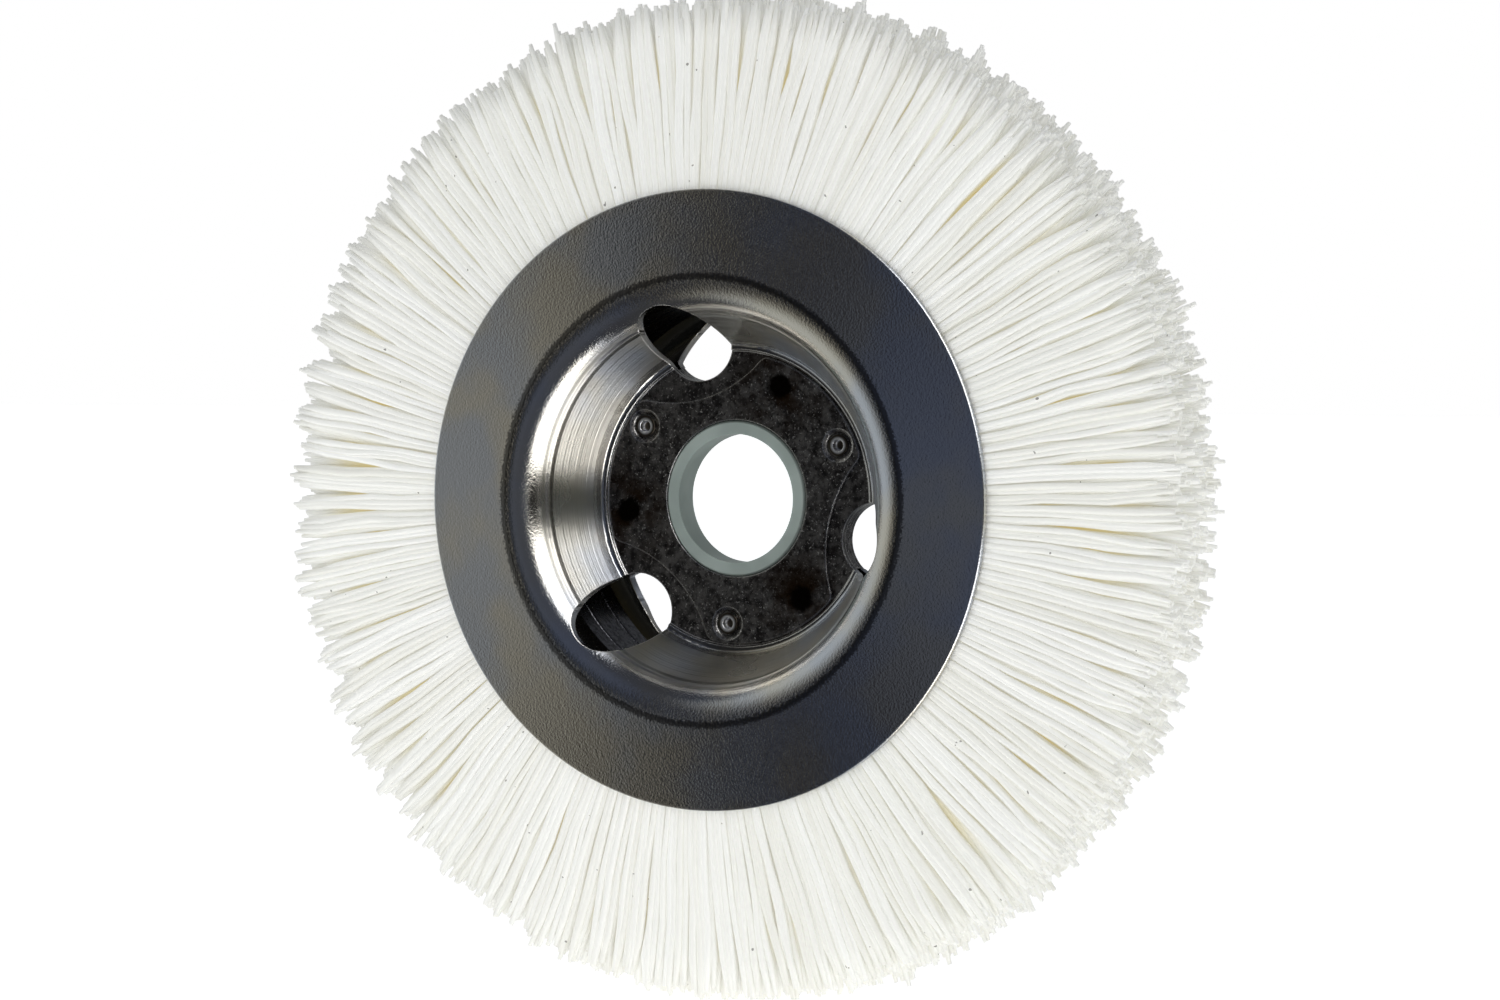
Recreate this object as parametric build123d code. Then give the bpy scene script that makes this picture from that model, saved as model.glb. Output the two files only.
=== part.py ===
"""Radial wheel brush for a lapidary arbor: nylon filaments clamped between two
dished steel cover plates, with a polymer reducing bush in the bore.

Frame: millimetres, origin at the centre of the bore on the wheel's mid-plane.
The wheel turns about +Y, its front cover plate faces -Y, and +Z is up.
Heights called "stand" are distances from the mid-plane, the same on both sides.
"""
from build123d import *
import os
from math import cos, degrees, radians, sin, tan

# ---------------------------------------------------------------- driving sizes
WHEEL_D = 195.0           # over the trimmed filament tips
BORE_D = 25.4             # arbor hole, 1 inch
BUSH_WALL = 2.75          # reducing bush, radial wall
BUSH_CHAMFER = 0.5        # on the bush's outer edges
BUSH_FIT = 0.05           # radial clearance, bush in hub hole
BUSH_PROUD = 0.3          # its ends stand this far out of the stiffeners

PLATE_D = 121.5           # cover plate outside diameter
PLATE_T = 1.2             # cover plate sheet
DISH_DEPTH = 14.6         # web face to the rim's outer edge
WEB_R = 30.0              # flat web ends, dish wall starts
WALL_SLOPE = 61.5         # dish wall from the wheel plane, degrees
RIM_CONE = 6.0            # the rim falls outwards by this angle, degrees
FOOT_STEP = 0.5           # raised ring pressed in at the foot of the wall
FOOT_STEP_W = 0.9         # width of that ring
FOOT_FILLET = 0.6         # outside radius at the foot of the wall
SHOULDER_FILLET = 6.7     # outside radius where the wall turns into the rim
RIM_EDGE_FILLET = 0.3     # broken edge round the rim

CORE_T = 2.0              # core disc between the two webs
CORE_EDGE = 1.2           # core disc stops this far inside the web's edge
STIFFENER_T = 0.5         # lobed stiffener welded on each web
STIFFENER_RING_W = 5.5    # its land round the bush, between the lobes
STIFFENER_EDGE = 0.2      # rounding along its outline
LOBE_R = 28.7             # its lobes reach this far out
SCALLOP_R = 27.4          # hollow between two lobes
LOBE_FILLET = 2.2         # rounded lobe corners

SETS = 3                  # drive holes, lobes, rivets and weld spots per side
HOLE_D = 15.0             # drive holes
HOLE_PITCH_R = 31.7
HOLE_ANGLE = 105.6        # first drive hole, anticlockwise from +X seen from -Y
LOBE_ANGLE = 47.5         # middle of the first lobe
RIVET_PITCH_R = 24.8
RIVET_ANGLE = 25.5

RIVET_D = 3.0             # shank
RIVET_FIT = 0.05          # radial clearance, shank in its hole
RIVET_RIM_D = 4.3         # rolled rim on the front
RIVET_RIM_T = 0.4
ROLL_SHARE = 0.45         # edge radius of the rolled rim, per rim thickness
RIVET_CUP_D = 2.2         # hollow in the front end
RIVET_CUP_DEPTH = 1.4
RIVET_HEAD_D = 4.6        # domed head on the back
RIVET_HEAD_T = 0.9
DIMPLE_D = 6.6            # countersink in the stiffener round each rivet
DIMPLE_FIT = 0.1          # radial clearance, rivet ends in the countersink

HOOP_GAP = 4.25           # hoop edge to the inside of the dish wall, radial
HOOP_T = 0.8
HOOP_STAND = 9.0          # hoop reaches this far each side of the mid-plane
HOOP_LIP = 3.0            # height of its two side lips
HOOP_GROOVE_R = 0.45      # two grooves rolled round its inner face
HOOP_GROOVE_STAND = 4.2
ROOT_WIRE_D = 2.6         # the wire that the filaments are folded over

TIP_STAND = 10.0          # brush half width at the tips
BUNDLES = 24              # equal packs of filament round the wheel
BUNDLE_GAP = 0.1          # between neighbouring packs
THROAT = 1.0              # the pack fills the rim this far outside the shoulder

# --------------------------------------------------------------- derived places
BUSH_R = BORE_D / 2 + BUSH_WALL
HUB_R = BUSH_R + BUSH_FIT
WEB_STAND = CORE_T / 2 + PLATE_T
STACK_STAND = WEB_STAND + STIFFENER_T
BUSH_STAND = STACK_STAND + BUSH_PROUD
RIM_STAND = WEB_STAND + DISH_DEPTH
RIM_R = PLATE_D / 2
CORE_R = WEB_R - CORE_EDGE
SLOPE = radians(WALL_SLOPE)
CONE = radians(RIM_CONE)
STEP_RUN = FOOT_STEP / tan(SLOPE)
WALL_FOOT_R = WEB_R + STEP_RUN
INSIDE_WALL_R = WEB_R + PLATE_T / sin(SLOPE)      # inside of the wall at web level
LINER_STAND = RIM_STAND - PLATE_T / cos(CONE)     # inside of the rim's outer edge
HOOP_R = INSIDE_WALL_R + (HOOP_STAND - WEB_STAND) / tan(SLOPE) + HOOP_GAP
ROOT_R = HOOP_R + HOOP_T
WIRE_R = ROOT_R + ROOT_WIRE_D / 2

FRONT = -1                # the side that faces -Y
REAR = 1

os.makedirs("parts", exist_ok=True)


def save(name, solid):
    """Write one sub-part to its own STEP file."""
    solid.label = name
    export_step(solid, f"parts/{name}.step")


def ring(inner, outer, low, high):
    """Plain ring about the wheel axis between two Y values."""
    section = Pos((inner + outer) / 2, (low + high) / 2) * Rectangle(outer - inner, high - low)
    return revolve(section, Axis.Y)


def polar(radius, angle):
    """X and Z of a point seen from the front, angles anticlockwise from +X."""
    return radius * cos(radians(angle)), radius * sin(radians(angle))


def pin(radius, pitch, angle, low, high):
    """Cylinder along Y at a polar place."""
    x, z = polar(pitch, angle)
    middle = (low + high) / 2
    return Pos(x, middle, z) * Rot(90, 0, 0) * Cylinder(radius, high - low)


def repeated(first):
    """The angles of a feature that comes SETS times round the hub."""
    return [first + k * 360 / SETS for k in range(SETS)]


def cut_drive_holes(solid):
    reach = 2 * RIM_STAND
    for angle in repeated(HOLE_ANGLE):
        solid -= pin(HOLE_D / 2, HOLE_PITCH_R, angle, -reach, reach)
    return solid


def cut_rivet_holes(solid):
    for angle in repeated(RIVET_ANGLE):
        solid -= pin(RIVET_D / 2 + RIVET_FIT, RIVET_PITCH_R, angle, -RIM_STAND, RIM_STAND)
    return solid


# ----------------------------------------------------------------- cover plates
def rim_line(edge_stand, radius):
    """Stand of the coned rim at a radius, from its stand at the outer edge."""
    return edge_stand + (RIM_R - radius) * tan(CONE)


def shoulder_corner(wall_r, edge_stand):
    """Where the wall's line, wall_r at web level, meets the rim's line."""
    rise = rim_line(edge_stand, wall_r) - WEB_STAND
    radius = wall_r + rise / (tan(SLOPE) + tan(CONE))
    return radius, rim_line(edge_stand, radius)


def plate_section():
    """Half section of the rear plate in radius (X) and stand (Y), corners rounded."""
    step_foot_r = WEB_R - FOOT_STEP_W
    outside = [
        (HUB_R, WEB_STAND),
        (step_foot_r, WEB_STAND),
        (step_foot_r + STEP_RUN, WEB_STAND + FOOT_STEP),
        (WALL_FOOT_R, WEB_STAND + FOOT_STEP),
        shoulder_corner(WEB_R, RIM_STAND),
        (RIM_R, RIM_STAND),
    ]
    inside = [
        (RIM_R, LINER_STAND),
        shoulder_corner(INSIDE_WALL_R, LINER_STAND),
        (INSIDE_WALL_R - PLATE_T / tan(SLOPE), CORE_T / 2),
        (HUB_R, CORE_T / 2),
    ]
    section = make_face(Polyline(*outside, *inside, close=True))
    rounded = [
        (outside[4], SHOULDER_FILLET),
        (inside[1], SHOULDER_FILLET - PLATE_T),
        (outside[3], FOOT_FILLET),
        (inside[2], FOOT_FILLET + PLATE_T),
        (outside[5], RIM_EDGE_FILLET),
    ]
    for place, radius in rounded:
        corner = section.vertices().sort_by_distance((*place, 0))[0]
        section = fillet(corner, radius)
    return section


def cover_plate(side):
    """Pressed dish: flat web, foot ring, sloping wall, big shoulder, coned rim."""
    solid = revolve(plate_section(), Axis.Y)
    solid = cut_rivet_holes(cut_drive_holes(solid))
    return solid if side == REAR else mirror(solid, about=Plane.XZ)


save("front_cover_plate", cover_plate(FRONT))
save("rear_cover_plate", cover_plate(REAR))


# ------------------------------------------------------------ hub core and bush
def core_disc():
    """Spacer disc between the two webs; it carries the wheel's drive load."""
    solid = ring(HUB_R, CORE_R, -CORE_T / 2, CORE_T / 2)
    return cut_rivet_holes(cut_drive_holes(solid))


def bush():
    """Reducing bush, just proud of both stiffeners, its outer edges chamfered."""
    solid = ring(BORE_D / 2, BUSH_R, -BUSH_STAND, BUSH_STAND)
    outer_edges = solid.edges().filter_by(GeomType.CIRCLE).group_by(SortBy.RADIUS)[-1]
    return chamfer(outer_edges, BUSH_CHAMFER)


save("hub_core_disc", core_disc())
save("bore_bush", bush())


# ------------------------------------------------------- stiffeners on the webs
def stiffener_outline():
    """Disc with three hollows, which leave three rounded lobes."""
    outline = Circle(LOBE_R)
    scallop_pitch = HUB_R + STIFFENER_RING_W + SCALLOP_R
    for angle in repeated(LOBE_ANGLE + 180 / SETS):
        outline -= Pos(*polar(scallop_pitch, angle)) * Circle(SCALLOP_R)
    return fillet(outline.vertices(), LOBE_FILLET)


def dimple():
    """Countersink on the wheel axis, from the web's face out through the stiffener."""
    seat = RIVET_HEAD_D / 2 + DIMPLE_FIT
    sides = [(0, WEB_STAND), (seat, WEB_STAND), (DIMPLE_D / 2, STACK_STAND), (0, STACK_STAND)]
    return revolve(make_face(Polyline(*sides, close=True)), Axis.Y)


def stiffener(side):
    """Three-lobed washer, spot welded to the web, countersunk round the rivets."""
    flat = Plane.XZ.offset(-WEB_STAND) * stiffener_outline()
    solid = extrude(flat, -STIFFENER_T)
    top = solid.faces().sort_by(Axis.Y)[-1]
    solid = fillet(top.edges(), STIFFENER_EDGE)
    solid -= ring(0, HUB_R, WEB_STAND, STACK_STAND)
    for angle in repeated(RIVET_ANGLE):
        x, z = polar(RIVET_PITCH_R, angle)
        solid -= Pos(x, 0, z) * dimple()
    return solid if side == REAR else mirror(solid, about=Plane.XZ)


save("front_hub_stiffener", stiffener(FRONT))
save("rear_hub_stiffener", stiffener(REAR))


# ----------------------------------------------------------------------- rivets
def rivet_blank():
    """Semi-tubular rivet on the wheel axis: cupped, rolled front end, domed back."""
    shank, rim, cup, head = (d / 2 for d in (RIVET_D, RIVET_RIM_D, RIVET_CUP_D, RIVET_HEAD_D))
    front = -WEB_STAND - RIVET_RIM_T
    back = WEB_STAND + RIVET_HEAD_T
    side_line = Polyline(
        (0, back),
        (0, front + RIVET_CUP_DEPTH),
        (cup, front + RIVET_CUP_DEPTH),
        (cup, front),
        (rim, front),
        (rim, -WEB_STAND),
        (shank, -WEB_STAND),
        (shank, WEB_STAND),
        (head, WEB_STAND),
    )
    dome_radius = (head**2 + RIVET_HEAD_T**2) / (2 * RIVET_HEAD_T)
    dome = RadiusArc((head, WEB_STAND), (0, back), -dome_radius)
    section = make_face(side_line + dome)
    rolled = [(cup, front), (rim, front)]
    for place in rolled:
        corner = section.vertices().sort_by_distance((*place, 0))[0]
        section = fillet(corner, RIVET_RIM_T * ROLL_SHARE)
    return revolve(section, Axis.Y)


for number, angle in enumerate(repeated(RIVET_ANGLE), start=1):
    x, z = polar(RIVET_PITCH_R, angle)
    save(f"hub_rivet_{number}", Pos(x, 0, z) * rivet_blank())


# ------------------------------------------------- what holds the filament roots
def hoop():
    """Rolled channel, open outwards, that the folded filament roots sit in."""
    lip_r = ROOT_R + HOOP_LIP
    groove_stand = HOOP_STAND - HOOP_T
    section = Pos((HOOP_R + lip_r) / 2, 0) * Rectangle(lip_r - HOOP_R, 2 * HOOP_STAND)
    for stand in (-HOOP_GROOVE_STAND, HOOP_GROOVE_STAND):
        section -= Pos(HOOP_R, stand) * Circle(HOOP_GROOVE_R)
    section -= Pos((ROOT_R + lip_r) / 2, 0) * Rectangle(HOOP_LIP, 2 * groove_stand)
    return revolve(section, Axis.Y)


def wire_section():
    """Round wire lying on the floor of the hoop."""
    return Pos(WIRE_R, 0) * Circle(ROOT_WIRE_D / 2)


def root_wire():
    """Closed wire ring that the filaments are folded over."""
    return revolve(wire_section(), Axis.Y)


save("root_hoop", hoop())
save("root_wire", root_wire())


# -------------------------------------------------------------- filament bundles
def bundle_blank():
    """One pack: folded root over the wire, throat between the plates, free trim."""
    root_stand = HOOP_STAND - HOOP_T
    corner_r = shoulder_corner(INSIDE_WALL_R, LINER_STAND)[0]
    throat_r = corner_r + SHOULDER_FILLET * tan((SLOPE + CONE) / 2) + THROAT
    half = [
        (WIRE_R, root_stand),
        (ROOT_R + HOOP_LIP, root_stand),
        (throat_r, rim_line(LINER_STAND, throat_r)),
        (RIM_R, LINER_STAND),
        (WHEEL_D / 2, TIP_STAND),
    ]
    other_half = [(radius, -stand) for radius, stand in reversed(half)]
    section = make_face(Polyline(*half, *other_half, close=True)) - wire_section()
    arc = 360 / BUNDLES - degrees(BUNDLE_GAP / RIM_R)
    return revolve(section, Axis.Y, revolution_arc=arc)


bundle = bundle_blank()
for number in range(BUNDLES):
    save(f"filament_bundle_{number + 1:02d}", Rot(0, number * 360 / BUNDLES, 0) * bundle)
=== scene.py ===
"""Radial nylon wheel brush with dished steel cover plates, on a pale studio floor.

The wheel's axis is Y and its front cover plate faces -Y. Named lengths are
millimetres, which MM turns into metres; camera and light distances are metres.
"""
import math
import random

import bmesh
import bpy
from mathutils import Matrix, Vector


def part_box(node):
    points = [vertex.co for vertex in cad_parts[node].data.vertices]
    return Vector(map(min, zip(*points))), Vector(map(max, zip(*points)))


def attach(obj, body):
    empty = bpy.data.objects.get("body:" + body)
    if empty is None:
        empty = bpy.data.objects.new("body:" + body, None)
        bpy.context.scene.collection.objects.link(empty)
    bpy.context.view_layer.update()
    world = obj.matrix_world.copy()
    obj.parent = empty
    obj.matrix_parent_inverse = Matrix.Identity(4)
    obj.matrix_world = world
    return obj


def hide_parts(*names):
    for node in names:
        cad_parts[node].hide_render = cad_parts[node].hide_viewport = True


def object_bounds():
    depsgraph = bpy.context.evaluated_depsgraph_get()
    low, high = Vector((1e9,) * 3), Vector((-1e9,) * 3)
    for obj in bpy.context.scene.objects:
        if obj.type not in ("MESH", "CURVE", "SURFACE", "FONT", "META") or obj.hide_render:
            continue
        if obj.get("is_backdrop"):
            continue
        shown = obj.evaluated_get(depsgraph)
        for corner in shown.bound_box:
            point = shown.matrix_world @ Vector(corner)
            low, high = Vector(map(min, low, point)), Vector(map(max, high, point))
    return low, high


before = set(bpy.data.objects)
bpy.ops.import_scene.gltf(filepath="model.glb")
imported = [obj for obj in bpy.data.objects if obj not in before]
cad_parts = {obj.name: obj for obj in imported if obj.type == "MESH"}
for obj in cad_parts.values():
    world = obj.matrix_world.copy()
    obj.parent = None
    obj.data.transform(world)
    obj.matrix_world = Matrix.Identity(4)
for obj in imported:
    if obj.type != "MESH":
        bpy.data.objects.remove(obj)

cad_low, cad_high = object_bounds()


# ---------------------------------------------------------------- cover plates
# Two dishes pressed from bright cold-rolled sheet and left bare. Pressing leaves
# orange peel on the rim and drawn rings on the wall. The flat web is dull,
# speckled, and tinted where the hub was spot welded to it.
MM = 0.001
WEB_EDGE_R, WALL_FOOT_R = 29.3, 30.3
DIE_LINE_R, DIE_LINE_W = 36.2, 0.5
WALL_TOP_R, SHOULDER_END_R = 37.0, 43.6
WELD_PITCH_R, WELD_ANGLE = 24.2, 66.5
WELD_R, HEAT_R = 2.7, 13.0
PATCH_SIZE, RING_PATCH = 26.0, 12.0
EDGE_WEAR = 0.35
# Width of the painted dark reflection band at the shoulder's crest.
PAINTED_CREST_BAND_W = 1.0
# Texture sizes judged. RING_HEIGHT is a multiple of PEEL_HEIGHT, not a length.
PEEL_SIZE, PEEL_HEIGHT = 0.45, 0.06
RING_SPACING, RING_HEIGHT = 0.8, 4.0
MOTTLE_SIZE, BLOTCH_SIZE, SPECK_SIZE = 1.8, 5.0, 0.4
WALL_STRETCH = 0.85


def linear(hex_colour):
    """sRGB hex to the linear colour that a shader takes."""
    parts = [int(hex_colour[i:i + 2], 16) / 255 for i in (1, 3, 5)]
    return [p / 12.92 if p <= 0.04045 else ((p + 0.055) / 1.055) ** 2.4 for p in parts] + [1.0]


def add(tree, kind, inputs=None, output=0, **settings):
    """Add a node with its settings, values and links, and return one output socket."""
    made = tree.nodes.new(kind)
    for name, setting in settings.items():
        setattr(made, name, setting)
    for socket, value in (inputs or {}).items():
        if isinstance(value, bpy.types.NodeSocket):
            tree.links.new(value, made.inputs[socket])
        else:
            made.inputs[socket].default_value = value
    return made.outputs[output] if len(made.outputs) else None


def new_material(name, **values):
    """A Principled material with plain values on the shader's own sockets."""
    made = bpy.data.materials.new(name)
    made.use_nodes = True
    made.node_tree.nodes.clear()
    surface = add(made.node_tree, "ShaderNodeBsdfPrincipled")
    add(made.node_tree, "ShaderNodeOutputMaterial", {"Surface": surface})
    for socket, value in values.items():
        surface.node.inputs[socket.replace("_", " ")].default_value = value
    return made, made.node_tree, surface.node


def wheel_polar(tree):
    """Object coordinates, with the distance in mm and the angle round the axle."""
    place = add(tree, "ShaderNodeTexCoord", output="Object")
    x = add(tree, "ShaderNodeSeparateXYZ", {0: place})
    z = x.node.outputs["Z"]
    flat = add(tree, "ShaderNodeCombineXYZ", {0: x, 2: z})
    length = add(tree, "ShaderNodeVectorMath", {0: flat}, output="Value", operation="LENGTH")
    radius = add(tree, "ShaderNodeMath", {0: length, 1: 1 / MM}, operation="MULTIPLY")
    angle = add(tree, "ShaderNodeMath", {0: z, 1: x}, operation="ARCTAN2")
    return place, radius, angle


def from_spot(tree, radius, angle, pitch_r, first_angle):
    """Distance in mm from the nearest of three spots spaced evenly round the axle."""
    third = math.tau / 3
    start = math.radians(first_angle) - third / 2
    turned = add(tree, "ShaderNodeMath", {0: angle, 1: start}, operation="SUBTRACT")
    folded = add(tree, "ShaderNodeMath", {0: turned, 1: third}, operation="FLOORED_MODULO")
    apart = add(tree, "ShaderNodeMath", {0: folded, 1: third / 2}, operation="SUBTRACT")
    along = add(tree, "ShaderNodeMath", {0: apart}, operation="COSINE")
    across = add(tree, "ShaderNodeMath", {0: apart}, operation="SINE")
    spot = add(tree, "ShaderNodeCombineXYZ", {0: along, 1: across})
    spot = add(tree, "ShaderNodeVectorMath", {0: spot, "Scale": radius}, operation="SCALE")
    return add(tree, "ShaderNodeVectorMath", {0: spot, 1: (pitch_r, 0, 0)}, output="Value",
               operation="DISTANCE")


def bright_edge(tree):
    """A worn, rounded normal for the corners, and a mask that is 1 on them."""
    rounded = add(tree, "ShaderNodeBevel", {"Radius": EDGE_WEAR * MM}, samples=6)
    flat = add(tree, "ShaderNodeNewGeometry", output="Normal")
    along = add(tree, "ShaderNodeVectorMath",
                {0: rounded, 1: flat}, output="Value", operation="DOT_PRODUCT")
    return rounded, add(tree, "ShaderNodeMapRange", {0: along, 1: 0.998, 2: 0.95})


def web_colour(tree, place, radius, angle):
    """Dull steel: mottled scale, pale specks, brown heat tint and black weld spots."""
    scale = add(tree, "ShaderNodeTexNoise",
                {"Vector": place, "Scale": 1 / (MOTTLE_SIZE * MM), "Detail": 6.0, "Roughness": 0.7})
    mottle = add(tree, "ShaderNodeMapRange",
                 {0: scale, 1: 0.36, 2: 0.66}, interpolation_type="SMOOTHSTEP")
    colour = add(tree, "ShaderNodeMix", {0: mottle, 6: linear("#3d3b3a"), 7: linear("#8e8b88")},
                 output=2, data_type="RGBA")
    fine = add(tree, "ShaderNodeTexNoise",
               {"Vector": place, "Scale": 1 / (SPECK_SIZE * MM), "Detail": 2.0})
    specks = add(tree, "ShaderNodeMapRange",
                 {0: fine, 1: 0.62, 2: 0.7}, interpolation_type="SMOOTHSTEP")
    colour = add(tree, "ShaderNodeMix",
                 {0: specks, 6: colour, 7: linear("#e2e0dc")}, output=2, data_type="RGBA")
    blotch = add(tree, "ShaderNodeTexNoise",
                 {"Vector": place, "Scale": 1 / (BLOTCH_SIZE * MM), "Detail": 3.0})
    blotch = add(tree, "ShaderNodeMapRange",
                 {0: blotch, 1: 0.36, 2: 0.58}, interpolation_type="SMOOTHSTEP")
    weld = from_spot(tree, radius, angle, WELD_PITCH_R, WELD_ANGLE)
    heat = add(tree, "ShaderNodeMapRange", {0: weld, 1: WELD_R, 2: HEAT_R, 3: 1.0, 4: 0.0})
    tint = add(tree, "ShaderNodeMath", {0: heat, 1: blotch}, operation="MULTIPLY")
    colour = add(tree, "ShaderNodeMix",
                 {0: tint, 6: colour, 7: linear("#37281a")}, output=2, data_type="RGBA")
    ragged = add(tree, "ShaderNodeMath", {0: scale, 1: 2.4, 2: weld}, operation="MULTIPLY_ADD")
    burnt = add(tree, "ShaderNodeMapRange",
                {0: ragged, 1: WELD_R + 0.4, 2: WELD_R + 1.6, 3: 1.0, 4: 0.0},
                interpolation_type="SMOOTHSTEP")
    return add(tree, "ShaderNodeMix",
               {0: burnt, 6: colour, 7: linear("#120e0b")}, output=2, data_type="RGBA")


def on_wall(tree, radius):
    """1 on the drawn wall of the dish, 0 on the web and on the rim."""
    above_foot = add(tree, "ShaderNodeMapRange", {0: radius, 1: WALL_FOOT_R, 2: WALL_FOOT_R + 1})
    below_top = add(tree, "ShaderNodeMapRange",
                    {0: radius, 1: WALL_TOP_R, 2: WALL_TOP_R + 1, 3: 1.0, 4: 0.0})
    return add(tree, "ShaderNodeMath", {0: above_foot, 1: below_top}, operation="MULTIPLY")


def drawn_rings(tree, place, radius):
    """Fine rings round the dish wall, fading in and out, with one sharper die line."""
    y = add(tree, "ShaderNodeSeparateXYZ", {0: place}, output="Y")
    metres = add(tree, "ShaderNodeMath", {0: radius, 1: MM}, operation="MULTIPLY")
    down_wall = add(tree, "ShaderNodeCombineXYZ", {0: metres, 1: y})
    rings = add(tree, "ShaderNodeTexNoise",
                {"Vector": down_wall, "Scale": 1 / (RING_SPACING * MM), "Detail": 3.0, "Roughness": 0.65})
    patches = add(tree, "ShaderNodeTexNoise",
                  {"Vector": place, "Scale": 1 / (RING_PATCH * MM), "Detail": 1.0})
    rings = add(tree, "ShaderNodeMath", {0: rings, 1: patches}, operation="MULTIPLY")
    off_line = add(tree, "ShaderNodeMath", {0: radius, 1: DIE_LINE_R}, operation="SUBTRACT")
    off_line = add(tree, "ShaderNodeMath", {0: off_line}, operation="ABSOLUTE")
    line = add(tree, "ShaderNodeMapRange", {0: off_line, 1: 0.0, 2: DIE_LINE_W, 3: 1.0, 4: 0.0},
               interpolation_type="SMOOTHSTEP")
    both = add(tree, "ShaderNodeMath", {0: line, 1: 1.4, 2: rings}, operation="MULTIPLY_ADD")
    return add(tree, "ShaderNodeMath", {0: both, 1: on_wall(tree, radius)}, operation="MULTIPLY")


def plate_steel():
    """Bright cold-rolled steel: a glossy dark mirror, broken up by fine orange peel."""
    material, tree, shader = new_material("bright cold-rolled steel, pressed", Metallic=1.0,
                                          Anisotropic_Rotation=0.25)
    place, radius, angle = wheel_polar(tree)
    patches = add(tree, "ShaderNodeTexNoise",
                  {"Vector": place, "Scale": 1 / (PATCH_SIZE * MM), "Detail": 3.0})
    cool = add(tree, "ShaderNodeMapRange",
               {0: patches, 1: 0.4, 2: 0.6}, interpolation_type="SMOOTHSTEP")
    bare = add(tree, "ShaderNodeMix", {0: cool, 6: linear("#c6c2b8"), 7: linear("#b8bcc4")},
               output=2, data_type="RGBA")
    on_web = add(tree, "ShaderNodeMapRange",
                 {0: radius, 1: WEB_EDGE_R - 0.3, 2: WEB_EDGE_R + 0.2, 3: 1.0, 4: 0.0})
    colour = add(tree, "ShaderNodeMix", {0: on_web, 6: bare, 7: web_colour(tree, place, radius, angle)},
                 output=2, data_type="RGBA")
    # Painted shade: faces turned inward, toward the other plate and the filaments, are coloured dark for
    # the shade that falls between the parts.
    facing = add(tree, "ShaderNodeVectorMath",
                 {0: place, 1: place.node.outputs["Normal"]}, operation="MULTIPLY")
    facing = add(tree, "ShaderNodeSeparateXYZ", {0: facing}, output="Y")
    inside = add(tree, "ShaderNodeMath", {0: facing, 1: -0.1 * MM}, operation="LESS_THAN")
    colour = add(tree, "ShaderNodeMix",
                 {0: inside, 6: colour, 7: linear("#3a3935")}, output=2, data_type="RGBA")
    rounded, edge = bright_edge(tree)
    colour = add(tree, "ShaderNodeMix",
                 {0: edge, 6: colour, 7: linear("#f4f2ee")}, output=2, data_type="RGBA")
    peel = add(tree, "ShaderNodeTexNoise",
               {"Vector": place, "Scale": 1 / (PEEL_SIZE * MM), "Detail": 3.0, "Roughness": 0.6})
    # Painted reflection: a ragged dark band just past the shoulder's crest stands for the dim room
    # mirrored there.
    wander = add(tree, "ShaderNodeMath", {0: peel, 1: 2.0, 2: radius}, operation="MULTIPLY_ADD")
    off_crest = add(tree, "ShaderNodeMath", {0: wander, 1: SHOULDER_END_R + 1.2}, operation="SUBTRACT")
    off_crest = add(tree, "ShaderNodeMath", {0: off_crest}, operation="ABSOLUTE")
    painted_crest_reflection = add(tree, "ShaderNodeMapRange", {0: off_crest, 1: 0.3, 2: PAINTED_CREST_BAND_W, 3: 0.8, 4: 0.0},
                interpolation_type="SMOOTHSTEP")
    colour = add(tree, "ShaderNodeMix",
                 {0: painted_crest_reflection, 6: colour, 7: linear("#2c2b2b")}, output=2, data_type="RGBA")
    upright = add(tree, "ShaderNodeMath", {0: angle}, operation="SINE")
    upright = add(tree, "ShaderNodeMath", {0: upright}, operation="ABSOLUTE")
    grainy = add(tree, "ShaderNodeMapRange", {0: upright, 3: 0.45, 4: 1.0})
    shoulder = add(tree, "ShaderNodeMapRange",
                   {0: radius, 1: SHOULDER_END_R, 2: SHOULDER_END_R + 2, 3: 1.0, 4: 0.0})
    grainy = add(tree, "ShaderNodeMath", {0: grainy, 1: shoulder}, operation="MAXIMUM")
    off_wall = add(tree, "ShaderNodeMapRange",
                   {0: radius, 1: WALL_TOP_R, 2: WALL_TOP_R + 2, 3: 0.2, 4: 1.0})
    grainy = add(tree, "ShaderNodeMath", {0: grainy, 1: off_wall}, operation="MULTIPLY")
    peel_height = add(tree, "ShaderNodeMath", {0: peel, 1: grainy}, operation="MULTIPLY")
    height = add(tree, "ShaderNodeMath",
                 {0: drawn_rings(tree, place, radius), 1: RING_HEIGHT, 2: peel_height},
                 operation="MULTIPLY_ADD")
    bump = add(tree, "ShaderNodeBump",
               {"Height": height, "Distance": PEEL_HEIGHT * MM, "Strength": 1.0, "Normal": rounded})
    stretched = add(tree, "ShaderNodeMath",
                    {0: on_wall(tree, radius), 1: WALL_STRETCH}, operation="MULTIPLY")
    round_axle = add(tree, "ShaderNodeTangent", direction_type="RADIAL", axis="Y")
    rough = add(tree, "ShaderNodeMapRange", {0: patches, 1: 0.3, 2: 0.7, 3: 0.1, 4: 0.17})
    rough = add(tree, "ShaderNodeMath", {0: on_web, 1: 0.16, 2: rough}, operation="MULTIPLY_ADD")
    rough = add(tree, "ShaderNodeMath",
                {0: on_wall(tree, radius), 1: 0.16, 2: rough}, operation="MULTIPLY_ADD")
    looks = {"Base Color": colour, "Roughness": rough, "Normal": bump, "Anisotropic": stretched,
             "Tangent": round_axle}
    for socket, value in looks.items():
        tree.links.new(value, shader.inputs[socket])
    return material


def finish_nodes(material, *names):
    """Give carried-over CAD nodes their finish."""
    for name in names:
        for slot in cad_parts[name].material_slots:
            slot.material = material


finish_nodes(plate_steel(), "front_cover_plate", "rear_cover_plate")


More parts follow.
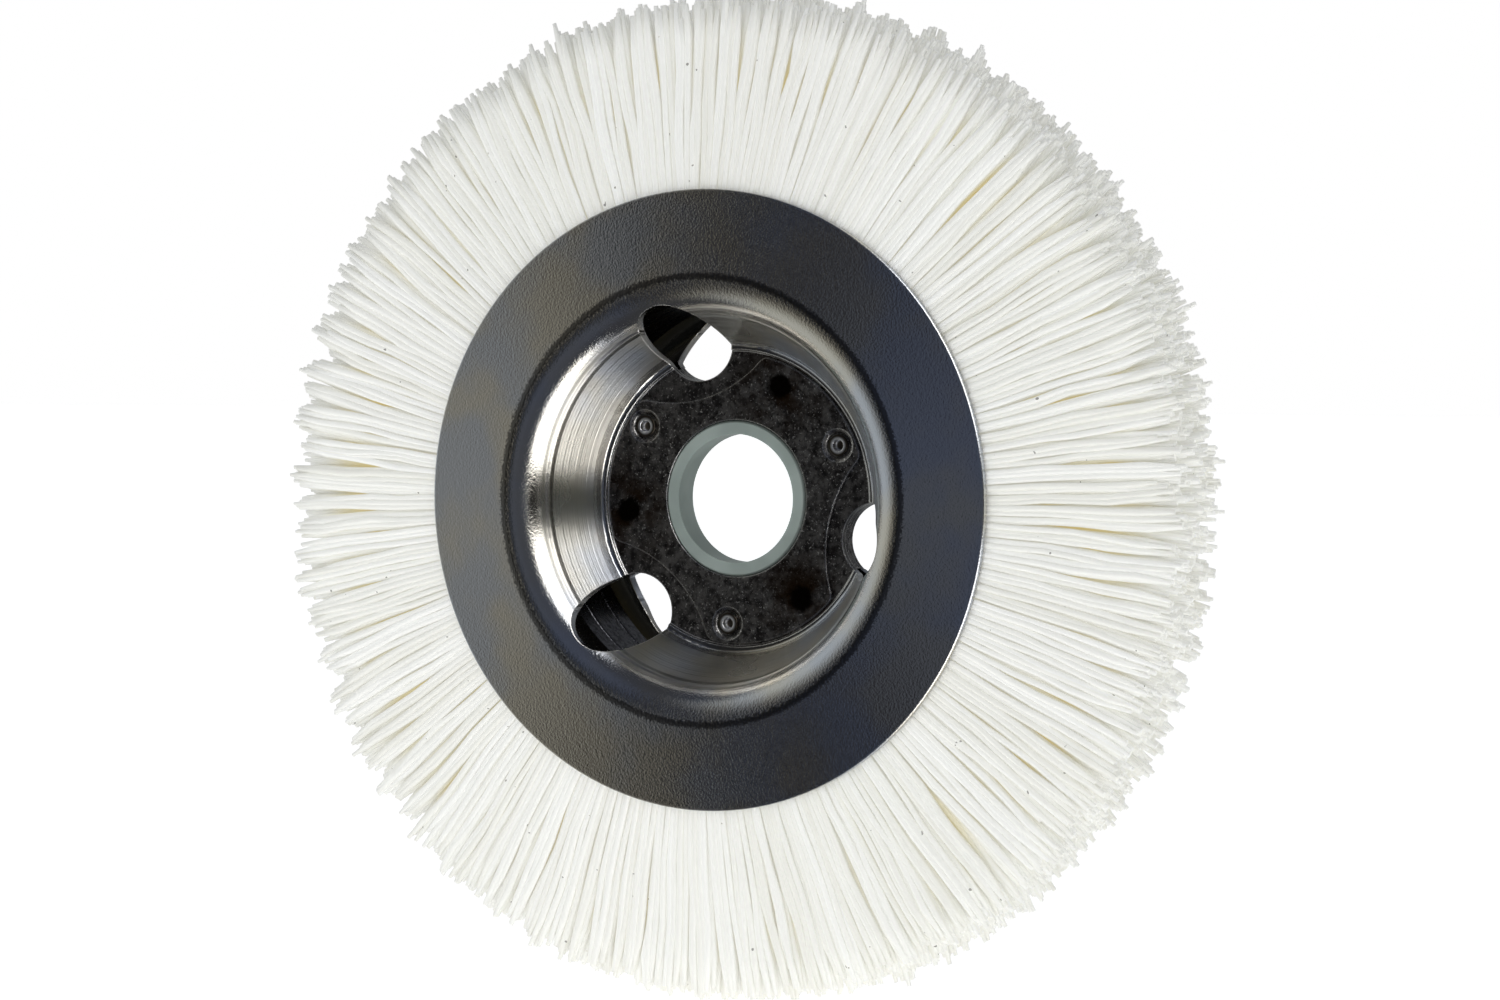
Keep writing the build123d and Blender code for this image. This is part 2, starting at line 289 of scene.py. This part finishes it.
# ------------------------------------------------- hub stiffeners and core disc
# Lobed washers and a core disc, blanked from mild steel and spot welded to the
# webs. They share the webs' scale and heat marks, and only their edges are bright.
HUB_GRAIN, HUB_GRAIN_HEIGHT = 0.9, 0.045


def hub_steel():
    """Blanked mild steel with welding scale: dull and grainy, brown and black at the welds."""
    material, tree, shader = new_material("mild steel, weld scaled", Metallic=1.0)
    place, radius, angle = wheel_polar(tree)
    grain = add(tree, "ShaderNodeTexNoise",
                {"Vector": place, "Scale": 1 / (HUB_GRAIN * MM), "Detail": 5.0, "Roughness": 0.7})
    rounded, edge = bright_edge(tree)
    bump = add(tree, "ShaderNodeBump",
               {"Height": grain, "Distance": HUB_GRAIN_HEIGHT * MM, "Strength": 1.0, "Normal": rounded})
    rough = add(tree, "ShaderNodeMapRange", {0: grain, 1: 0.3, 2: 0.7, 3: 0.22, 4: 0.38})
    colour = web_colour(tree, place, radius, angle)
    colour = add(tree, "ShaderNodeMix",
                 {0: edge, 6: colour, 7: linear("#f4f2ee")}, output=2, data_type="RGBA")
    for socket, value in {"Base Color": colour, "Roughness": rough, "Normal": bump}.items():
        tree.links.new(value, shader.inputs[socket])
    return material


finish_nodes(hub_steel(), "front_hub_stiffener", "rear_hub_stiffener", "hub_core_disc")


# --------------------------------------------------- rivets, root hoop and wire
# Three small semi-tubular steel rivets with a rolled bright rim. The ring that
# carries the filament roots is rolled strip with two grooves, round a drawn wire.
RIVET_PITCH_R, RIVET_ANGLE = 24.8, 25.5
LIP_R, LIP_W = 1.25, 0.6
MARK_SIZE = 0.8


def bright_steel(name, worn, bright, roughness):
    """Rolled or drawn bright steel: a clean gloss with faint duller handling marks."""
    material, tree, shader = new_material(name, Metallic=1.0)
    place = add(tree, "ShaderNodeTexCoord", output="Object")
    marks = add(tree, "ShaderNodeTexNoise",
                {"Vector": place, "Scale": 1 / (MARK_SIZE * MM), "Detail": 4.0})
    clean = add(tree, "ShaderNodeMapRange",
                {0: marks, 1: 0.35, 2: 0.6}, interpolation_type="SMOOTHSTEP")
    colour = add(tree, "ShaderNodeMix", {0: clean, 6: linear(worn), 7: linear(bright)},
                 output=2, data_type="RGBA")
    rough = add(tree, "ShaderNodeMapRange", {0: clean, 3: roughness + 0.1, 4: roughness})
    tree.links.new(colour, shader.inputs["Base Color"])
    tree.links.new(rough, shader.inputs["Roughness"])
    return material


def rivet_steel():
    """Semi-tubular rivet: oily brown head round the clean bright lip of its hollow end."""
    material, tree, shader = new_material("rivet steel, rolled over", Metallic=1.0, Roughness=0.36)
    place, radius, angle = wheel_polar(tree)
    away = from_spot(tree, radius, angle, RIVET_PITCH_R, RIVET_ANGLE)
    inside = add(tree, "ShaderNodeMapRange",
                 {0: away, 1: LIP_R - LIP_W, 2: LIP_R}, interpolation_type="SMOOTHSTEP")
    outside = add(tree, "ShaderNodeMapRange", {0: away, 1: LIP_R, 2: LIP_R + LIP_W, 3: 1.0, 4: 0.0},
                  interpolation_type="SMOOTHSTEP")
    lip = add(tree, "ShaderNodeMath", {0: inside, 1: outside}, operation="MULTIPLY")
    colour = add(tree, "ShaderNodeMix", {0: lip, 6: linear("#4b453c"), 7: linear("#ffffff")},
                 output=2, data_type="RGBA")
    tree.links.new(colour, shader.inputs["Base Color"])
    return material


finish_nodes(rivet_steel(), "hub_rivet_1", "hub_rivet_2", "hub_rivet_3")
strip_and_wire = bright_steel("rolled strip and drawn wire", "#3c3c3f", "#6a6a6e", 0.24)
finish_nodes(strip_and_wire, "root_hoop", "root_wire")


# -------------------------------------------------------------------- the bush
# A push-in reducing bush, moulded in a translucent grey-green polymer. It has a
# soft gloss and faint flow marks, and a painted shade darkens its outer edge where it meets steel.
BUSH_R, PAINTED_SHADE_W = 15.45, 0.7
FLOW_SIZE = 9.0


def bush_polymer():
    """Moulded nylon: light carries a little way in, so its edges stay soft."""
    material, tree, shader = new_material("moulded nylon, grey-green", Roughness=0.4, IOR=1.53,
                                          Subsurface_Weight=0.4, Subsurface_Scale=1.2 * MM)
    shader.inputs["Subsurface Radius"].default_value = (1.0, 1.15, 1.05)
    place, radius, angle = wheel_polar(tree)
    flow = add(tree, "ShaderNodeTexNoise",
               {"Vector": place, "Scale": 1 / (FLOW_SIZE * MM), "Detail": 2.0})
    flow = add(tree, "ShaderNodeMapRange", {0: flow, 1: 0.35, 2: 0.65}, interpolation_type="SMOOTHSTEP")
    colour = add(tree, "ShaderNodeMix", {0: flow, 6: linear("#8b9691"), 7: linear("#98a39e")},
                 output=2, data_type="RGBA")
    # Painted shade: the outer edge of the bush is darkened where it meets the steel.
    painted_edge_shade = add(tree, "ShaderNodeMapRange", {0: radius, 1: BUSH_R - PAINTED_SHADE_W, 2: BUSH_R},
                interpolation_type="SMOOTHSTEP")
    colour = add(tree, "ShaderNodeMix",
                 {0: painted_edge_shade, 6: colour, 7: linear("#3b413d")}, output=2, data_type="RGBA")
    tree.links.new(colour, shader.inputs["Base Color"])
    return material


finish_nodes(bush_polymer(), "bore_bush")


# ------------------------------------------------------------------- filaments
# Extruded white nylon: thousands of slightly wavy rods, clamped between the plates.
# They gather into pointed locks on the way out, and are trimmed unevenly. The rods
# are drawn thicker and fewer than real ones may be.
FILAMENT_R = 0.6
PACKS = 24
ACROSS, DEEP = 16, 24
LOCKS_ACROSS, LOCKS_DEEP = 8, 6
LENGTH_CUTS = 7
THROAT_STAND, TIP_STAND = 15.0, 9.6
ROOT_R = 46.0
TIP_TAPER = 0.5
TIP_SWELL = 0.35
LOCK_POINT = 1.8
SHARED_WAVE = 31
STRAY_SHARE, SHORT_SHARE = 0.01, 0.09
LONGEST_STRAY = 4.0
GLOW_FROM_R, GLOW_TO_R = 80.0, 94.0
DUST_SIZE = 1.1
plate_low, plate_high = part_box("front_cover_plate")
RIM_R = (plate_high[0] - plate_low[0]) / 2 / MM
TRIM_R = (cad_high[0] - cad_low[0]) / 2 / MM + 0.5


def filament_blank():
    """Unit rod from z 0 to 1, six-sided and ringed, so that it can bend."""
    shape = bmesh.new()
    bmesh.ops.create_cone(shape, cap_ends=True, segments=6, radius1=1, radius2=TIP_TAPER, depth=1)
    long_edges = [e for e in shape.edges if abs(e.verts[0].co.z - e.verts[1].co.z) > 0.5]
    bmesh.ops.subdivide_edges(shape, edges=long_edges, cuts=LENGTH_CUTS)
    bmesh.ops.translate(shape, verts=shape.verts, vec=(0, 0, 0.5))
    for vert in shape.verts:
        if vert.co.z < 0.99:
            across = vert.co.xy.normalized()
            vert.co.x, vert.co.y = across.x, across.y
    for face in shape.faces:
        face.smooth = len(face.verts) == 4
    blank = bpy.data.meshes.new("filament_blank")
    shape.to_mesh(blank)
    shape.free()
    return blank


def new_locks(rng):
    """Where neighbouring filaments gather, with the lean, wave and length they share."""
    made = []
    for i in range(LOCKS_ACROSS):
        for j in range(LOCKS_DEEP):
            made.append({
                "u": (i + 0.5 + rng.uniform(-0.35, 0.35)) / LOCKS_ACROSS,
                "v": -1 + 2 * (j + 0.5 + rng.uniform(-0.3, 0.3)) / LOCKS_DEEP,
                "gather": rng.uniform(0.2, 0.62),
                "lean": rng.gauss(0, 0.6),
                "swing": rng.uniform(0.1, 0.35),
                "phase": rng.uniform(0, math.tau),
                "longer": rng.gauss(0, 0.75),
                "tone": rng.random(),
            })
    return made


def bend_filament(verts, rng, u, v, lock, start_angle, spread):
    """Lay one rod from the throat to its tip, gathering, leaning and waving on the way."""
    off_centre = min(1.0, abs(u - lock["u"]) * 2 * LOCKS_ACROSS)
    tip = TRIM_R + 0.6 + lock["longer"] - LOCK_POINT * off_centre + rng.gauss(0, 0.4)
    lean = lock["lean"] + rng.gauss(0, 0.25)
    luck = rng.random()
    if luck < STRAY_SHARE:
        tip += rng.uniform(0.6, 2.2)
        lean += rng.gauss(0, 0.8)
    elif luck < SHORT_SHARE:
        tip -= rng.uniform(1.0, 5.0)
    tip = min(tip, TRIM_R + LONGEST_STRAY)
    wave, length = rng.uniform(0.06, 0.28), rng.uniform(16, 34)
    phase, phase_deep = rng.uniform(0, math.tau), rng.uniform(0, math.tau)
    thick = FILAMENT_R * rng.uniform(0.92, 1.1)
    for vert in verts:
        cross_x, cross_y, along = vert.co
        radius = ROOT_R + (tip - ROOT_R) * along
        free = max(0.0, (radius - RIM_R) / (TRIM_R - RIM_R))
        gather = lock["gather"] * free
        across = u + (lock["u"] - u) * gather
        deep = v + (lock["v"] - v) * gather * 0.4
        loose = min(1.0, free * 3)
        shared = lock["swing"] * math.sin(math.tau * radius / SHARED_WAVE + lock["phase"])
        swing = loose * (shared + wave * math.sin(math.tau * radius / length + phase))
        sway = loose * 0.6 * wave * math.sin(math.tau * radius / length + phase_deep)
        wide = thick * (1 + TIP_SWELL * free)
        angle = start_angle + across * spread + (swing + lean * free * free + cross_x * wide) / radius
        stand = THROAT_STAND + (TIP_STAND - THROAT_STAND) * free
        y = deep * stand + sway + cross_y * wide
        vert.co = Vector((radius * math.cos(angle), y, radius * math.sin(angle))) * MM


def filament_pack(number, blank):
    """One sector of the brush as a single mesh of separate rods."""
    rng = random.Random(4100 + number)
    spread = math.tau / PACKS
    start_angle = -(number + 1) * spread
    locks = new_locks(rng)
    shape = bmesh.new()
    for _ in range(ACROSS * DEEP):
        shape.from_mesh(blank)
    shape.verts.ensure_lookup_table()
    tone = shape.verts.layers.float.new("tone")
    depth = shape.verts.layers.float.new("depth")
    per_rod = len(blank.vertices)
    for rod in range(ACROSS * DEEP):
        row, column = divmod(rod, ACROSS)
        stagger = 0.25 if row % 2 else -0.25
        u = (column + 0.5 + stagger + rng.uniform(-0.25, 0.25)) / ACROSS
        v = -1 + 2 * (row + rng.uniform(-0.35, 0.35)) / (DEEP - 1)
        v = max(-1.0, min(1.0, v))
        lock = min(locks, key=lambda k: (k["u"] - u) ** 2 + (0.5 * (k["v"] - v)) ** 2)
        verts = shape.verts[rod * per_rod:(rod + 1) * per_rod]
        shade = 0.5 * rng.random() + 0.5 * lock["tone"]
        for vert in verts:
            vert[tone] = shade
            vert[depth] = 1 - abs(v)
        bend_filament(verts, rng, u, v, lock, start_angle, spread)
    mesh = bpy.data.meshes.new(f"filament_pack_{number + 1:02d}")
    shape.to_mesh(mesh)
    shape.free()
    return bpy.data.objects.new(mesh.name, mesh)


def nylon_filament():
    """Undyed extruded nylon: satin warm white. Rods deep in the pack and short of the tips are painted
    pale yellow-beige, as painted light for the pack's gaps.

    A faint glow, stronger on the inner rods, is painted light too: it stands for light that the pack
    passes on.
    """
    material, tree, shader = new_material("extruded nylon filament", Roughness=0.5, IOR=1.53)
    place, radius, angle = wheel_polar(tree)
    tone = add(tree, "ShaderNodeAttribute", output="Fac", attribute_name="tone")
    depth = add(tree, "ShaderNodeAttribute", output="Fac", attribute_name="depth")
    colour = add(tree, "ShaderNodeMix", {0: tone, 6: linear("#fafaf7"), 7: linear("#efeee6")},
                 output=2, data_type="RGBA")
    # Painted light: rods deep in the pack and short of the tips are tinted yellow-beige and glow a little
    # more.
    painted_inner_light = add(tree, "ShaderNodeMapRange",
                {0: depth, 1: 0.06, 2: 0.3}, interpolation_type="SMOOTHSTEP")
    short_of_tip = add(tree, "ShaderNodeMapRange",
                       {0: radius, 1: GLOW_FROM_R, 2: GLOW_TO_R, 3: 1.0, 4: 0.0},
                       interpolation_type="SMOOTHSTEP")
    painted_inner_light = add(tree, "ShaderNodeMath", {0: painted_inner_light, 1: short_of_tip}, operation="MULTIPLY")
    colour = add(tree, "ShaderNodeMix",
                 {0: painted_inner_light, 6: colour, 7: linear("#f0e9cd")}, output=2, data_type="RGBA")
    dust = add(tree, "ShaderNodeTexNoise",
               {"Vector": place, "Scale": 1 / (DUST_SIZE * MM), "Detail": 0.0})
    dust = add(tree, "ShaderNodeMapRange", {0: dust, 1: 0.86, 2: 0.88})
    colour = add(tree, "ShaderNodeMix",
                 {0: dust, 6: colour, 7: linear("#8d8c86")}, output=2, data_type="RGBA")
    glow = add(tree, "ShaderNodeMapRange", {0: painted_inner_light, 3: 0.095, 4: 0.15})
    tint = add(tree, "ShaderNodeMix", {0: painted_inner_light, 6: linear("#fbfbf7"), 7: linear("#eedfa6")},
               output=2, data_type="RGBA")
    tree.links.new(colour, shader.inputs["Base Color"])
    tree.links.new(glow, shader.inputs["Emission Strength"])
    tree.links.new(tint, shader.inputs["Emission Color"])
    return material


blank = filament_blank()
nylon = nylon_filament()
for number in range(PACKS):
    pack = filament_pack(number, blank)
    bpy.context.scene.collection.objects.link(pack)
    pack.data.materials.append(nylon)
    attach(pack, "root")
    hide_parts(f"filament_bundle_{number + 1:02d}")
bpy.data.meshes.remove(blank)


# ---------------------------------------------------------------- studio floor
# A sheet of white paper wide enough to run out of sight. It is lit a little from
# below, so that it burns out to white. The steel doesn't mirror it.
FLOOR_SIZE, FLOOR_GAP = 6.0, 0.0005
FLOOR_GLOW = 0.62


def paper_floor():
    """Flat sheet just under the lowest filament tip."""
    shape = bmesh.new()
    bmesh.ops.create_grid(shape, x_segments=1, y_segments=1, size=FLOOR_SIZE)
    bmesh.ops.translate(shape, verts=shape.verts, vec=(0, 0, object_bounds()[0].z - FLOOR_GAP))
    mesh = bpy.data.meshes.new("paper_floor")
    shape.to_mesh(mesh)
    shape.free()
    floor = bpy.data.objects.new("paper_floor", mesh)
    bpy.context.scene.collection.objects.link(floor)
    material, tree, shader = new_material("white paper", Roughness=0.9, Emission_Strength=FLOOR_GLOW)
    shader.inputs["Base Color"].default_value = linear("#f7f7f6")
    shader.inputs["Emission Color"].default_value = linear("#ffffff")
    mesh.materials.append(material)
    floor.visible_glossy = False
    floor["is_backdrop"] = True


paper_floor()


# ---------------------------------------------------------------- studio light
# Soft white all round for the matt parts. Only reflections see a shaded room: dim
# blue ahead, a dark stand, a pale wall on the left, and on the right a bright wall
# with a dark gap at eye level.
FRONT_PANEL_WATTS, FRONT_PANEL_SIZE, FRONT_PANEL_DISTANCE = 1.6, 0.9, 1.2
FRONT_PANEL_AZIMUTH, FRONT_PANEL_ELEVATION = -20, 40
RIGHT_WALL_STRENGTH, RIGHT_GAP_STRENGTH = 4.2, 0.04
ROOM = [
    (-180, "#5a5c60"), (-140, "#b4b8b8"), (-120, "#cdd1d0"), (-62, "#cdd1d0"), (-48, "#b0b2af"),
    (-40, "#8b8983"), (-35, "#7e7c77"), (-31.5, "#1e1f22"), (-21, "#1e1f22"), (-15, "#5c6270"),
    (0, "#50545f"), (30, "#50545f"), (44, "#c8ccd0"), (100, "#c8ccd0"), (135, "#8b8d90"), (180, "#5a5c60"),
]


def studio_world():
    """White to the eye and to matt surfaces, the shaded room to mirrors."""
    world = bpy.data.worlds.new("studio")
    world.use_nodes = True
    tree = world.node_tree
    tree.nodes.clear()
    way = add(tree, "ShaderNodeTexCoord", output="Generated")
    x = add(tree, "ShaderNodeSeparateXYZ", {0: way})
    y, z = x.node.outputs["Y"], x.node.outputs["Z"]
    ahead = add(tree, "ShaderNodeMath", {0: y, 1: -1.0}, operation="MULTIPLY")
    azimuth = add(tree, "ShaderNodeMath", {0: x, 1: ahead}, operation="ARCTAN2")
    turn = add(tree, "ShaderNodeMapRange", {0: azimuth, 1: -math.pi, 2: math.pi})
    ring = add(tree, "ShaderNodeValToRGB", {0: turn})
    stops = ring.node.color_ramp.elements
    stops.remove(stops[1])
    for degrees, colour in ROOM:
        stop = stops[0] if degrees == -180 else stops.new((degrees + 180) / 360)
        stop.color = linear(colour)
    level = add(tree, "ShaderNodeMath", {0: z}, operation="ABSOLUTE")
    steep = add(tree, "ShaderNodeMapRange",
                {0: level, 1: 0.6, 2: 0.85}, interpolation_type="SMOOTHSTEP")
    room = add(tree, "ShaderNodeMix",
               {0: steep, 6: ring, 7: linear("#44464c")}, output=2, data_type="RGBA")
    from_right = add(tree, "ShaderNodeMapRange", {0: azimuth, 1: math.radians(34), 2: math.radians(46)},
                     interpolation_type="SMOOTHSTEP")
    to_right = add(tree, "ShaderNodeMapRange", {0: azimuth, 1: math.radians(104), 2: math.radians(118),
                                                3: 1.0, 4: 0.0}, interpolation_type="SMOOTHSTEP")
    right = add(tree, "ShaderNodeMath", {0: from_right, 1: to_right}, operation="MULTIPLY")
    off_gap = add(tree, "ShaderNodeMapRange", {0: level, 1: 0.16, 2: 0.34, 3: RIGHT_GAP_STRENGTH,
                                               4: RIGHT_WALL_STRENGTH},
                  interpolation_type="SMOOTHSTEP")
    wall = add(tree, "ShaderNodeCombineColor", {0: off_gap, 1: off_gap, 2: off_gap})
    shallow = add(tree, "ShaderNodeMapRange", {0: level, 1: 0.84, 2: 0.98, 3: 1.0, 4: 0.0})
    right = add(tree, "ShaderNodeMath", {0: right, 1: shallow}, operation="MULTIPLY")
    room = add(tree, "ShaderNodeMix", {0: right, 6: room, 7: wall}, output=2, data_type="RGBA")
    mirrored = add(tree, "ShaderNodeLightPath", output="Is Glossy Ray")
    lit = add(tree, "ShaderNodeMix",
              {0: mirrored, 6: linear("#b4b6b8"), 7: room}, output=2, data_type="RGBA")
    seen = mirrored.node.outputs["Is Camera Ray"]
    light = add(tree, "ShaderNodeMix",
                {0: seen, 6: lit, 7: linear("#ffffff")}, output=2, data_type="RGBA")
    ground = add(tree, "ShaderNodeBackground", {"Color": light, "Strength": 1.0})
    add(tree, "ShaderNodeOutputWorld", {"Surface": ground})
    bpy.context.scene.world = world


def soft_panel(name, azimuth, elevation, distance, size, watts):
    """Square area light aimed at the hub, kept out of the steel's reflections."""
    light = bpy.data.lights.new(name, "AREA")
    light.shape = "SQUARE"
    light.size = size
    light.energy = watts
    lamp = bpy.data.objects.new(name, light)
    turn, rise = math.radians(azimuth), math.radians(elevation)
    back = Vector((math.sin(turn) * math.cos(rise), -math.cos(turn) * math.cos(rise), math.sin(rise)))
    lamp.location = back * distance
    lamp.rotation_euler = back.to_track_quat("Z", "Y").to_euler()
    lamp.visible_glossy = False
    bpy.context.scene.collection.objects.link(lamp)


studio_world()
soft_panel("front_panel", FRONT_PANEL_AZIMUTH, FRONT_PANEL_ELEVATION, FRONT_PANEL_DISTANCE,
           FRONT_PANEL_SIZE, FRONT_PANEL_WATTS)


# ---------------------------------------------------------------------- camera
# A long lens, a little to the right of the axle and just above it.
CAMERA_AZIMUTH, CAMERA_RISE = 27.57, 1.82
CAMERA_DISTANCE = 1.221
CAMERA_LENS = 148.4
AIM_RIGHT, AIM_UP = 1.48, -0.40
camera_data = bpy.data.cameras.new("camera")
camera_data.sensor_width = 36.0
camera_data.lens = CAMERA_LENS
camera = bpy.data.objects.new("camera", camera_data)
turn, rise = math.radians(CAMERA_AZIMUTH), math.radians(CAMERA_RISE)
back = Vector((math.sin(turn) * math.cos(rise), -math.cos(turn) * math.cos(rise), math.sin(rise)))
right = Vector((math.cos(turn), math.sin(turn), 0))
aim = (right * AIM_RIGHT + back.cross(right) * AIM_UP) * MM
camera.location = aim + back * CAMERA_DISTANCE
camera.rotation_euler = (math.radians(90) - rise, 0, turn)
bpy.context.scene.collection.objects.link(camera)
bpy.context.scene.camera = camera
bpy.context.scene.view_settings.view_transform = "Standard"
